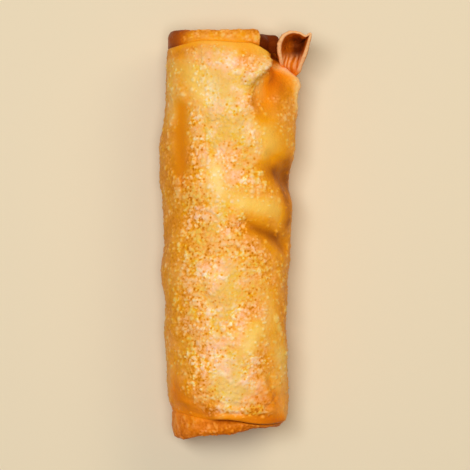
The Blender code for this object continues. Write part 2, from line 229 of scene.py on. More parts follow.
def wrap_edge(side, angle):
    """Where the outer wrap stops along Y, at each angle."""
    right = np.cos(angle)  # -1 on the left flank, 1 on the right one
    if side == TOP:
        shorter = TOP_EDGE_LEFT * smooth(-0.4, -0.95, right) + TOP_EDGE_RIGHT * smooth(0.45, 0.85, right)
        return TOP_EDGE - shorter + EDGE_WAVE * np.cos(3 * angle)
    slant = BOTTOM_SLANT_LEFT * smooth(-0.3, -0.9, right) - BOTTOM_SLANT_RIGHT * smooth(-0.2, 0.7, right)
    return BOTTOM_EDGE + slant + EDGE_WAVE * np.cos(4 * angle)


def parted(side, angle):
    """1 where the wrap's edge gapes a little over the tucked end, 0 where it clings to it."""
    right = np.cos(angle)
    if side == TOP:
        return 0.2 + 0.8 * smooth(0.35, 0.62, right)
    return smooth(-0.42, -0.12, right)


# The tucked ends below the wrap are a little slimmer than it is.
END_LEFT = {TOP: -0.6 * MM, BOTTOM: -1.6 * MM}
END_RIGHT = {TOP: -1.4 * MM, BOTTOM: -1.2 * MM}
END_CROWN = {TOP: -0.6 * MM, BOTTOM: -1.6 * MM}
END_UNDER = -0.6 * MM
TOP_NOTCH = 3.0 * MM  # where only the layer below reaches the top end
NOTCH_ACROSS = (0.65, 0.73)  # it starts between these shares of the half width
TUCK_LUMP, TUCK_LUMP_SIZE = 0.35 * MM, 6 * MM
TUCK_CRUMPLE, TUCK_CRUMPLE_SIZE = 0.15 * MM, 2.2 * MM


def top_notch(angle):
    """1 at the upper right of the top end, where the folded sheet stops short, and 0 elsewhere."""
    return smooth(*NOTCH_ACROSS, np.cos(angle)) * smooth(0.10, 0.34, np.sin(angle))


def top_short(angle):
    """1 all down the right of the top end, where only the layer below is left, and 0 elsewhere."""
    return smooth(*NOTCH_ACROSS, np.cos(angle)) * smooth(-0.5, -0.2, np.sin(angle))


def tuck_radius(side, angle, y):
    """The distance of a tucked end's outside from the axis."""
    slim = slimness(y)
    left = 0.5 * WIDTH * slim + END_LEFT[side]
    right = 0.5 * WIDTH * slim + END_RIGHT[side]
    crown = (HEIGHT - AXIS_HEIGHT) * slim + END_CROWN[side]
    radius = rounded_square(angle, left, right, crown, AXIS_HEIGHT + END_UNDER)
    if side == TOP:
        radius = radius - TOP_NOTCH * top_notch(angle)
    place = unbent(radius, angle, y)
    crumples = TUCK_CRUMPLE * waves(place, TUCK_CRUMPLE_SIZE)
    return radius + TUCK_LUMP * waves(place, TUCK_LUMP_SIZE) + crumples


def wrap_radius(angle, y, round_share):
    """The wrap's distance from the axis. round_share is how far round its turn each place is."""
    slim = slimness(y)
    half = (0.5 * WIDTH - SHEET) * slim
    crown = (HEIGHT - AXIS_HEIGHT - 0.5 * SHEET) * slim
    radius = rounded_square(angle, half, half, crown, AXIS_HEIGHT + FLAT_DEPTH) + SHEET * round_share
    shoulder = smooth(SHOULDER_FROM, SHOULDER_TO, y) * smooth(0.72, 0.95, np.cos(angle))
    radius = radius - SHOULDER_CUT * shoulder
    place = unbent(radius, angle, y)
    smaller = UNEVEN_SMALLER * waves(place, UNEVEN_SMALLER * UNEVEN_SIZE, 2.5 * SEED)
    coarse = waves(place, UNEVEN_SIZE) + smaller
    fine = FINE_UNEVEN * waves(place, FINE_SIZE)
    near_end = smooth(WRINKLE_REACH, 2 * MM, np.minimum(TOP_EDGE - y, y - BOTTOM_EDGE))
    combed = np.stack([angle * 0.5 * WIDTH / WRINKLE_DRAWN, y, 0 * y], axis=-1)
    wrinkles = WRINKLE * near_end * waves(combed, WRINKLE_SIZE)
    radius = radius + strokes(FOLDS, angle, y) + strokes(CREASES, angle, y)
    radius = radius + UNEVEN * coarse + fine + wrinkles
    for side in (TOP, BOTTOM):
        from_edge = side * (wrap_edge(side, angle) - y)
        cling = (1 - parted(side, angle)) * smooth(CLING_REACH, 0.4 * MM, from_edge)
        radius = radius + cling * (tuck_radius(side, angle, y) + CLING_GAP - radius)
    return radius


def closed_skin(name, rings, first_middle, last_middle, values):
    """A closed mesh over rings of points, with one number per point stored under each name in values."""
    rows, around = rings.shape[:2]
    count = rows * around
    here = np.arange(count).reshape(rows, around)
    beside = np.roll(here, -1, axis=1)
    sides = np.stack([here[:-1], beside[:-1], beside[1:], here[1:]], axis=-1).reshape(-1, 4)
    first_cap = np.stack([np.full(around, count), beside[0], here[0]], axis=-1)
    last_cap = np.stack([np.full(around, count + 1), here[-1], beside[-1]], axis=-1)
    points = np.concatenate([rings.reshape(-1, 3), [first_middle, last_middle]])
    mesh = bpy.data.meshes.new(name)
    mesh.from_pydata(points.tolist(), [], sides.tolist() + first_cap.tolist() + last_cap.tolist())
    for value_name, value in values.items():
        ends = [value[0].mean(), value[-1].mean()]
        stored = mesh.attributes.new(value_name, "FLOAT", "POINT")
        stored.data.foreach_set("value", np.concatenate([value.reshape(-1), ends]).astype(np.float32))
    made = bmesh.new()
    made.from_mesh(mesh)
    if made.calc_volume(signed=True) < 0:
        bmesh.ops.reverse_faces(made, faces=made.faces)
    made.to_mesh(mesh)
    made.free()
    mesh.shade_smooth()
    piece = bpy.data.objects.new(name, mesh)
    bpy.context.scene.collection.objects.link(piece)
    return piece


# Where the crust is darker than its neighbours, and paler: the same kind of strokes. The darker ones are
# browner toast, and painted shade in the hollows, the dimple, the crease and the gap beside the curl; the
# paler ones are paler crust, and painted highlight on the crown and the ridge.
TOASTED_AND_SHADED = (
    ((138, 37 * MM), (136, 15 * MM), 0.13, 3.2 * MM),  # painted shade in the long hollow
    ((46, 44 * MM), (37, 48 * MM), 0.04, 3.0 * MM),  # painted shade in the hollow under the ridge
    ((34, 46 * MM), (24, 43 * MM), 0.16, 3.6 * MM),
    ((60, 39 * MM), (54, 35 * MM), 0.18, 3.0 * MM),  # and beside it
    ((32, 18 * MM), (10, 15 * MM), 0.20, 4.0 * MM),  # painted shade in the dimple
    ((50, 19.5 * MM), (34, 18.5 * MM), 0.18, 2.6 * MM),  # and on the crown's side of it
    ((18, 22 * MM), (4, 13 * MM), 0.22, 2.8 * MM),  # and down the flank
    ((66, 2 * MM), (20, -3.5 * MM), 0.22, 2.6 * MM),  # painted shade in the crease below the lobe
    ((60, 2.2 * MM), (30, -0.8 * MM), 0.20, 1.4 * MM),
    ((66, 5 * MM), (44, 3 * MM), 0.10, 2.2 * MM),  # and just above it
    ((150, -48 * MM), (112, -53 * MM), 0.16, 3.0 * MM),  # bottom left corner
    ((44, -46 * MM), (34, -52 * MM), 0.06, 3.0 * MM),  # bottom right corner
    ((24, 12 * MM), (20, 4 * MM), 0.30, 2.6 * MM),  # right flank beside the lobe
    ((170, 55 * MM), (140, 54 * MM), 0.16, 2.0 * MM),  # top left corner
    ((38, -20 * MM), (34, -36 * MM), 0.10, 3.6 * MM),  # lower right
    ((150, 4 * MM), (120, 4 * MM), 0.10, 3.0 * MM),  # in the waist on the left
    ((24, 53.6 * MM), (13, 52.4 * MM), 0.50, 1.3 * MM),  # painted shade in the gap beside the curled corner
    ((88, -54.4 * MM), (26, -55.4 * MM), 0.22, 1.8 * MM),  # along the bottom edge
)
PALE_AND_HIGHLIT = (
    # On the crown, from the top end down: painted highlight where the light's reflection runs along it,
    # over paler crust.
    ((120, 50 * MM), (85, 44 * MM), -0.12, 7.0 * MM),
    ((103, 52 * MM), (98, 6 * MM), -0.18, 5.0 * MM),
    ((88, 53 * MM), (76, 33 * MM), -0.32, 4.6 * MM),
    ((96, 48 * MM), (96, 32 * MM), -0.20, 4.0 * MM),
    ((72, 31 * MM), (74, 17 * MM), -0.14, 3.4 * MM),
    ((108, 21 * MM), (98, 13 * MM), -0.12, 3.4 * MM),
    ((122, 0 * MM), (116, -16 * MM), -0.10, 3.6 * MM),
    ((96, -3 * MM), (70, -9 * MM), -0.10, 3.6 * MM),
    ((86, -12 * MM), (84, -22 * MM), -0.26, 4.0 * MM),
    ((102, -12 * MM), (100, -30 * MM), -0.14, 4.0 * MM),
    ((95, -14 * MM), (84, -50 * MM), -0.16, 6.0 * MM),
    ((90, -41 * MM), (82, -47 * MM), -0.56, 4.4 * MM),
    # On the left flank.
    ((158, 53 * MM), (154, 37 * MM), -0.18, 5.0 * MM),
    ((168, -26 * MM), (165, -52 * MM), -0.20, 5.0 * MM),
    # On the right flank: the ridge, with a painted highlight along it, the sheet's edge and its turn into
    # the curl, the lobe, and below.
    ((48, 54 * MM), (50, 42 * MM), -0.10, 3.0 * MM),
    ((66, 46 * MM), (46, 51 * MM), -0.30, 1.5 * MM),
    ((13, 50 * MM), (9, 38 * MM), -0.35, 1.0 * MM),
    ((36, 52 * MM), (16, 49.5 * MM), -0.30, 1.5 * MM),
    ((60, 32 * MM), (45, 25 * MM), -0.10, 5.0 * MM),
    ((72, 9.5 * MM), (38, 8 * MM), -0.10, 4.0 * MM),
    ((42, -20 * MM), (34, -36 * MM), -0.14, 3.4 * MM),
    ((66, -33 * MM), (60, -28 * MM), -0.10, 3.4 * MM),
    ((70, -38 * MM), (62, -46 * MM), -0.12, 3.4 * MM),
    ((26, -37 * MM), (20, -54 * MM), -0.22, 4.6 * MM),
)
# Where it went redder, and in the two hollows also painted shade: the darker orange of their shaded
# sides.
REDDER_AND_SHADED = (
    ((44, 42 * MM), (24, 49 * MM), 0.9, 5.0 * MM),  # in the hollow that runs into the curled corner, partly painted shade
    ((139, 37 * MM), (137, 16 * MM), 0.5, 3.4 * MM),  # in the long hollow, partly painted shade
    ((54, -48 * MM), (24, -50 * MM), 0.6, 4.4 * MM),  # bottom right corner
    ((150, -46 * MM), (115, -54 * MM), 0.6, 5.0 * MM),  # bottom left corner
    ((100, -55 * MM), (26, -55.6 * MM), 0.7, 2.0 * MM),  # along the bottom edge
    ((168, -30 * MM), (160, -56 * MM), 0.35, 5.0 * MM),  # low on the left flank
)
WRAP_BROWNED = 0.30
# The flanks and the underside are darker: some browning, and painted shade where they turn away from the
# light above.
FLANK_BROWNED_AND_SHADED = 0.15
UNDER_BROWNED_AND_SHADED = 0.06
RELIEF_LIGHT_AND_SHADE = 0.03  # painted light and shade: paler for each mm that a place stands proud, darker for each mm of a dent
EDGE_BROWNED, EDGE_FADE = 0.10, 3 * MM  # beside the wrap's ends
CUT_BROWNED = 0.18
END_BROWNED = {TOP: 0.36, BOTTOM: 0.46}
END_REDDENED = {TOP: 0.3, BOTTOM: 0.9}
WRAP_BLISTERED = 0.90
FLANK_SMOOTHER = 0.6
# Where the sheet fried smooth, with hardly a blister.
SMOOTH_SKIN = (
    ((135, 50 * MM), (118, 42 * MM), 0.8, 4.5 * MM),
    ((50, 33 * MM), (30, 25 * MM), 0.8, 5.0 * MM),
    ((72, 9.5 * MM), (25, 6 * MM), 0.85, 3.8 * MM),  # the lobe
    ((100, 19 * MM), (94, 12 * MM), 0.7, 3.5 * MM),
    ((68, -33 * MM), (60, -28 * MM), 0.8, 3.6 * MM),
    ((42, -20 * MM), (36, -34 * MM), 0.7, 4.0 * MM),
    ((46, 42 * MM), (22, 49 * MM), 1.0, 5.0 * MM),
    ((152, -45 * MM), (122, -53 * MM), 0.75, 4.4 * MM),
    ((40, -45 * MM), (24, -53 * MM), 0.6, 4.4 * MM),
    ((90, -54.4 * MM), (26, -55.4 * MM), 0.8, 1.4 * MM),
    ((44, 21 * MM), (6, 13 * MM), 1.0, 4.6 * MM),
    ((60, 2 * MM), (20, -4 * MM), 0.95, 3.4 * MM),
    ((139, 38 * MM), (138, 20 * MM), 1.0, 3.2 * MM),
    ((44, 54 * MM), (80, 56 * MM), 0.8, 3.0 * MM),
    ((66, 45.5 * MM), (44, 51 * MM), -1.2, 1.6 * MM),  # but pitted on the ridge
    ((30, 51 * MM), (16, 49.5 * MM), -1.0, 1.3 * MM),  # and where it turns up into the curl
    ((36, 40.5 * MM), (16, 39.5 * MM), -0.5, 1.1 * MM),  # and in a row below the hollow
)
WRAP_INSIDE = 0.5 * LENGTH - 11 * MM  # how far out the skin closes inside the roll
WRAP_COLUMNS = 232
WRAP_ROWS = 402
CROWN_DENSER = 0.5  # the columns stand closer together over the crown
CROWN_AT = 0.59

even = (np.arange(WRAP_COLUMNS) + 0.5) / WRAP_COLUMNS
column = even - CROWN_DENSER / TURN * (np.sin(TURN * (even - CROWN_AT)) + math.sin(TURN * CROWN_AT))
# The free edge: a rounded lip, and the way back under it to the turn below.
lip_share = np.array([1.0, 1.0, 1.0])
lip_back = np.array([0.0, 0.0, 0.45 * MM]) / (0.5 * WIDTH)
lip_drop = np.array([0.12, 0.55, 1.05]) * SHEET
column = np.concatenate([column, lip_share])
back = np.concatenate([0 * even, lip_back])
drop = np.concatenate([0 * even, lip_drop])
# Each end of the wrap: from the last full row over the cut edge of the sheet, and back inside.
edge_in = np.array([0.5, 0.18, 0.0, 0.0, 0.3, 3.0]) * MM
edge_drop = np.array([0.0, 0.12, 0.42, 0.85, 1.2, 1.6]) * MM

along = np.linspace(0, 1, WRAP_ROWS)[:, None]
seam_wave = sum(far * np.sin(fast * along) for far, fast in SEAM_WAVES)
low_angle = seam_angle(BOTTOM_EDGE) - TURN * column[None, :]
high_angle = seam_angle(TOP_EDGE) - TURN * column[None, :]
low = wrap_edge(BOTTOM, low_angle) + edge_in[0]
high = wrap_edge(TOP, high_angle) - edge_in[0]
y = low + (high - low) * along
angle = seam_angle(y) - TURN * column[None, :] + back[None, :] + seam_wave
lowered = 0 * y + drop[None, :]
for side, edge_row in ((BOTTOM, 0), (TOP, -1)):
    edge_y = y[edge_row] + side * edge_in[0]
    more_y = edge_y[None, :] - side * edge_in[1:, None]
    more_angle = np.repeat(angle[edge_row][None, :], len(edge_in) - 1, axis=0)
    more_lowered = drop[None, :] + edge_drop[1:, None]
    if side == BOTTOM:
        y = np.concatenate([more_y[::-1], y])
        angle = np.concatenate([more_angle[::-1], angle])
        lowered = np.concatenate([more_lowered[::-1], lowered])
    else:
        y = np.concatenate([y, more_y])
        angle = np.concatenate([angle, more_angle])
        lowered = np.concatenate([lowered, more_lowered])

wrap_round = np.clip(0 * y + column[None, :], 0, 1)
wrap_rings = around_axis(wrap_radius(angle, y, wrap_round) - lowered, angle, y)
to_edge = np.minimum(wrap_edge(TOP, angle) - y, y - wrap_edge(BOTTOM, angle))
relief = strokes(FOLDS, angle, y) + strokes(CREASES, angle, y)
flank = smooth(0.5, 1.0, np.abs(np.cos(angle)))
# Browner and darker on the flanks and underneath: browning and painted shade.
wrap_browned_and_shaded = WRAP_BROWNED + FLANK_BROWNED_AND_SHADED * flank + UNDER_BROWNED_AND_SHADED * smooth(0.2, -0.5, np.sin(angle))
# Painted light on what stands proud, and painted shade in the dents.
wrap_browned_and_shaded = wrap_browned_and_shaded - RELIEF_LIGHT_AND_SHADE * np.clip(relief / MM, -2.5, 2.0)
wrap_browned_and_shaded = wrap_browned_and_shaded + strokes(TOASTED_AND_SHADED, angle, y) + strokes(PALE_AND_HIGHLIT, angle, y)
wrap_browned_and_shaded = wrap_browned_and_shaded + EDGE_BROWNED * np.exp(-np.maximum(to_edge, 0) / EDGE_FADE)
wrap_browned_and_shaded = wrap_browned_and_shaded + CUT_BROWNED * (lowered > 0.3 * MM)
wrap_reddened = strokes(REDDER_AND_SHADED, angle, y)
for side in (TOP, BOTTOM):
    from_edge = side * (wrap_edge(side, angle) - y)
    clinging = 1 - parted(side, angle)
    near = smooth(CLING_REACH, 0.0, from_edge) * clinging
    wrap_browned_and_shaded = wrap_browned_and_shaded + near * (END_BROWNED[side] - wrap_browned_and_shaded)
    near = smooth(2 * CLING_REACH, 0.0, from_edge) * clinging
    wrap_reddened = np.clip(wrap_reddened, near * END_REDDENED[side], 1)
wrap_blistered = np.clip(WRAP_BLISTERED - strokes(SMOOTH_SKIN, angle, y), 0, 1)
wrap_blistered = wrap_blistered * smooth(0.5 * MM, 2.5 * MM, to_edge) * (lowered < 0.05 * MM)
wrap_blistered = wrap_blistered * (1 - FLANK_SMOOTHER * smooth(0.5, 0.85, np.abs(np.cos(angle))))
wrap_x, wrap_y = wrap_rings[..., 0] + ORIGIN[0], wrap_rings[..., 1] + ORIGIN[1]
pleat_reach = smooth(16 * MM, 17.5 * MM, wrap_x) * smooth(*PLEATS_BEGIN, wrap_y)
wrap_floury = pleat_reach * np.clip(0.15 - 0.45 * pleated(wrap_x, wrap_y), 0, 0.5)
wrap_floury = np.clip(wrap_floury + strokes(FLOURY, angle, y), 0, 1)
outer_wrap = closed_skin(
    "outer_wrap",
    wrap_rings,
    around_axis(0.0, 0.0, np.array(-WRAP_INSIDE)),
    around_axis(0.0, 0.0, np.array(WRAP_INSIDE)),
    {"browned_and_shaded": wrap_browned_and_shaded, "blistered": wrap_blistered, "reddened": wrap_reddened, "cut": wrap_floury},
)


def new_node(tree, kind, **settings):
    """A new node with these settings."""
    node = tree.nodes.new(kind)
    for name, value in settings.items():
        setattr(node, name, value)
    return node


def feed(tree, socket, value):
    """Puts a plain value on a socket, or links another socket to it."""
    if isinstance(value, bpy.types.NodeSocket):
        tree.links.new(value, socket)
    else:
        socket.default_value = value


def sum_of(tree, operation, first, second=None, third=None):
    """A Math node's result."""
    node = new_node(tree, "ShaderNodeMath", operation=operation)
    for socket, value in zip(node.inputs, (first, second, third)):
        if value is not None:
            feed(tree, socket, value)
    return node.outputs[0]


def noise_clouds(tree, place, size, detail=2.0):
    """A Noise node, with clouds of one size."""
    node = new_node(tree, "ShaderNodeTexNoise", noise_dimensions="3D")
    feed(tree, node.inputs["Vector"], place)
    feed(tree, node.inputs["Scale"], 1 / size)
    feed(tree, node.inputs["Detail"], detail)
    return node


def voronoi_cells(tree, place, scale, feature="F1"):
    """A Voronoi node, with so many cells to the metre."""
    node = new_node(tree, "ShaderNodeTexVoronoi", voronoi_dimensions="3D", feature=feature)
    feed(tree, node.inputs["Vector"], place)
    feed(tree, node.inputs["Scale"], scale)
    return node


def remapped(tree, value, given, wanted=(0.0, 1.0)):
    """A value moved from one range into another, and kept inside it."""
    node = new_node(tree, "ShaderNodeMapRange")
    feed(tree, node.inputs["Value"], value)
    for name, end in zip(("From Min", "From Max", "To Min", "To Max"), (*given, *wanted)):
        feed(tree, node.inputs[name], end)
    return node.outputs[0]


# Steam lifts the sheet off the filling in blisters, as domes of three sizes that crowd together
# in some places and leave others smooth. Each size has a spacing, a height as a share of the
# dome's radius, and the share of its cells that is lifted.
BLISTER_SIZES = (
    ("Large", 2.7 * MM, 0.16, 0.13),
    ("Middling", 1.45 * MM, 0.36, 0.55),
    ("Small", 0.95 * MM, 0.50, 0.95),
)
BLISTER_SPAN = 0.55  # a dome's radius, as a share of its cell
SPAN_LEAST, SPAN_MORE = 0.75, 0.35  # how the radii differ from that
DOME_FULLNESS = 0.6  # 0.5 is half a ball, and 1 a flatter mound
BENT, BENT_SIZE = 0.8 * MM, 1.8 * MM  # how the domes' round outlines are bent
CROWD_SIZE = 8 * MM
CROWD_FROM, CROWD_TO = 0.38, 0.52  # the range of the noise over which they crowd together
CROWD_LEAST = 0.62
PUFFED_FULL = 0.3 * MM  # the height that counts as fully puffed


def blister_tree():
    """Geometry Nodes that raise the blisters and note where they are, for the colour."""
    tree = bpy.data.node_groups.new("blisters", "GeometryNodeTree")
    face = tree.interface
    face.new_socket("Geometry", in_out="INPUT", socket_type="NodeSocketGeometry")
    for name, size, puff, share in BLISTER_SIZES:
        for what, value in ((" size", size), (" puff", puff), (" share", share)):
            given_value = face.new_socket(name + what, in_out="INPUT", socket_type="NodeSocketFloat")
            given_value.default_value = value
    face.new_socket("Crust", in_out="INPUT", socket_type="NodeSocketMaterial")
    face.new_socket("Geometry", in_out="OUTPUT", socket_type="NodeSocketGeometry")
    given = new_node(tree, "NodeGroupInput")
    result = new_node(tree, "NodeGroupOutput")

    place = new_node(tree, "GeometryNodeInputPosition").outputs[0]
    wobble = new_node(tree, "ShaderNodeVectorMath", operation="MULTIPLY_ADD")
    feed(tree, wobble.inputs[0], noise_clouds(tree, place, BENT_SIZE).outputs["Color"])
    feed(tree, wobble.inputs[1], (BENT, BENT, BENT))
    feed(tree, wobble.inputs[2], place)
    crowd = noise_clouds(tree, place, CROWD_SIZE, 3.0)
    crowding = remapped(tree, crowd.outputs[0], (CROWD_FROM, CROWD_TO), (CROWD_LEAST, 1.0))
    allowed = new_node(tree, "GeometryNodeInputNamedAttribute", data_type="FLOAT")
    feed(tree, allowed.inputs["Name"], "blistered")
    crowded = sum_of(tree, "MULTIPLY", crowding, allowed.outputs[0])

    domes = []
    for name, *_ in BLISTER_SIZES:
        size = given.outputs[name + " size"]
        cells = voronoi_cells(tree, wobble.outputs[0], sum_of(tree, "DIVIDE", 1.0, size))
        kind = new_node(tree, "FunctionNodeSeparateColor")
        feed(tree, kind.inputs[0], cells.outputs["Color"])
        limit = sum_of(tree, "MULTIPLY", crowded, given.outputs[name + " share"])
        lifted = sum_of(tree, "LESS_THAN", kind.outputs[1], limit)
        more, least = SPAN_MORE * BLISTER_SPAN, SPAN_LEAST * BLISTER_SPAN
        span = sum_of(tree, "MULTIPLY_ADD", kind.outputs[0], more, least)
        far = sum_of(tree, "DIVIDE", cells.outputs["Distance"], span)
        round_over = sum_of(tree, "SUBTRACT", 1.0, sum_of(tree, "MULTIPLY", far, far))
        inside = sum_of(tree, "MAXIMUM", round_over, 0.0)
        rounded = sum_of(tree, "POWER", inside, DOME_FULLNESS)
        dome = sum_of(tree, "MULTIPLY", rounded, lifted)
        puff = sum_of(tree, "MULTIPLY", size, given.outputs[name + " puff"])
        puff = sum_of(tree, "MULTIPLY", puff, span)
        domes.append(sum_of(tree, "MULTIPLY", dome, puff))
    height = sum_of(tree, "ADD", domes[0], sum_of(tree, "MAXIMUM", domes[1], domes[2]))

    away = new_node(tree, "ShaderNodeVectorMath", operation="SCALE")
    feed(tree, away.inputs[0], new_node(tree, "GeometryNodeInputNormal").outputs[0])
    feed(tree, away.inputs["Scale"], height)
    geometry = given.outputs["Geometry"]
    puffed = sum_of(tree, "DIVIDE", height, PUFFED_FULL)
    for name, value in (("puffed", puffed), ("crowded", crowded)):
        noted = new_node(tree, "GeometryNodeStoreNamedAttribute", data_type="FLOAT", domain="POINT")
        feed(tree, noted.inputs["Geometry"], geometry)
        feed(tree, noted.inputs["Name"], name)
        feed(tree, noted.inputs["Value"], value)
        geometry = noted.outputs[0]
    moved = new_node(tree, "GeometryNodeSetPosition")
    feed(tree, moved.inputs["Geometry"], geometry)
    feed(tree, moved.inputs["Offset"], away.outputs[0])
    real = new_node(tree, "GeometryNodeRealizeInstances")
    feed(tree, real.inputs[0], moved.outputs[0])
    painted = new_node(tree, "GeometryNodeSetMaterial")
    feed(tree, painted.inputs["Geometry"], real.outputs[0])
    feed(tree, painted.inputs["Material"], given.outputs["Crust"])
    feed(tree, result.inputs[0], painted.outputs[0])
    return tree


blisters = blister_tree()


def raise_blisters(piece, crust, puff_share=1.0):
    """Runs the blister tree on a piece and keeps its result as the piece's plain mesh."""
    modifier = piece.modifiers.new("blisters", "NODES")
    modifier.node_group = blisters
    items = blisters.interface.items_tree
    sockets = {item.name: item.identifier for item in items if item.in_out == "INPUT"}
    modifier[sockets["Crust"]] = crust
    for name, size, puff, share in BLISTER_SIZES:
        modifier[sockets[name + " size"]] = size
        modifier[sockets[name + " puff"]] = puff * puff_share
        modifier[sockets[name + " share"]] = share
    bpy.context.view_layer.update()
    ready = piece.evaluated_get(bpy.context.evaluated_depsgraph_get())
    plain = bpy.data.meshes.new_from_object(ready)
    piece.modifiers.remove(modifier)
    for point in plain.vertices:
        point.co.z = max(point.co.z, 0.0)  # it rests flat on the table
    piece.data = plain
    plain.shade_smooth()


# The crust's colour follows how far each place is toasted, with painted light and shade added in, from
# pale cream on top of the blisters, through gold, to brown in the folds. The oil leaves it with a soft
# shine.
TOASTING = (
    (-0.30, (1.00, 0.92, 0.70)),
    (0.00, (0.97, 0.79, 0.38)),
    (0.20, (0.94, 0.59, 0.11)),
    (0.42, (0.91, 0.365, 0.006)),
    (0.62, (0.70, 0.235, 0.004)),
    (0.80, (0.42, 0.118, 0.003)),
    (1.00, (0.15, 0.030, 0.002)),
)
REDDENED = (1.0, 0.67, 0.56)  # thin layers with no wet filling behind them fry redder
BLUSH_AND_SHEEN = (0.98, 0.50, 0.31)  # rosy patches, partly painted highlight: the pinkish white of the light's reflection on the pale crown
OLIVE = (0.78, 0.46, 0.008)  # and greenish gold ones, thinly laid over the paler parts
# Each tint lies in clouds of one size, with so much detail, share and softness.
TINTS = (
    (BLUSH_AND_SHEEN, 5 * MM, 2.0, 0.75, 0.12),
    (BLUSH_AND_SHEEN, 1.4 * MM, 1.0, 0.60, 0.12),
    (OLIVE, 7 * MM, 2.0, 0.75, 0.10),
)
TINT_FROM, TINT_TO = 0.62, 0.22  # no tint where it is toasted past the first
TOAST_CLOUDS = ((16 * MM, 2.0, 0.09), (4.5 * MM, 3.0, 0.07))  # size, detail, and how much darker or paler
TOAST_SPECKLE = (0.9 * MM, 3.0, 0.18)
CROWDED_BROWNED_SHADED = 0.26  # the sheet is browner between crowded blisters, partly painted shade in the gaps
PUFFED_PALER_LIT = 0.66  # and paler on top of them, partly painted highlight where the domes face the light
PORE_SPACING = 1.5 * MM  # steam holes, each browned round its edge
PORE_HOLE, PORE_RIM = 0.12, 0.36  # how far its dark middle and its rim reach, in cells
PORE_BROWNED = 0.80
PORE_STRENGTH = 0.75
SMOOTH_MOTTLED = 0.3  # smooth skin is evener in colour too
CUT_EDGE = (0.95, 0.52, 0.24)  # a cut edge of the sheet, dry and floury
WRAP_ROUGHNESS = 0.46
OILY, DRY, OIL_SIZE = -0.06, 0.14, 2.4 * MM  # how oily and dry patches change the roughness
PUFFED_ROUGHNESS = -0.10  # and what the tops of the blisters do
PIMPLE_SIZE = 0.8 * MM
GRAIN_SIZE = 0.4 * MM


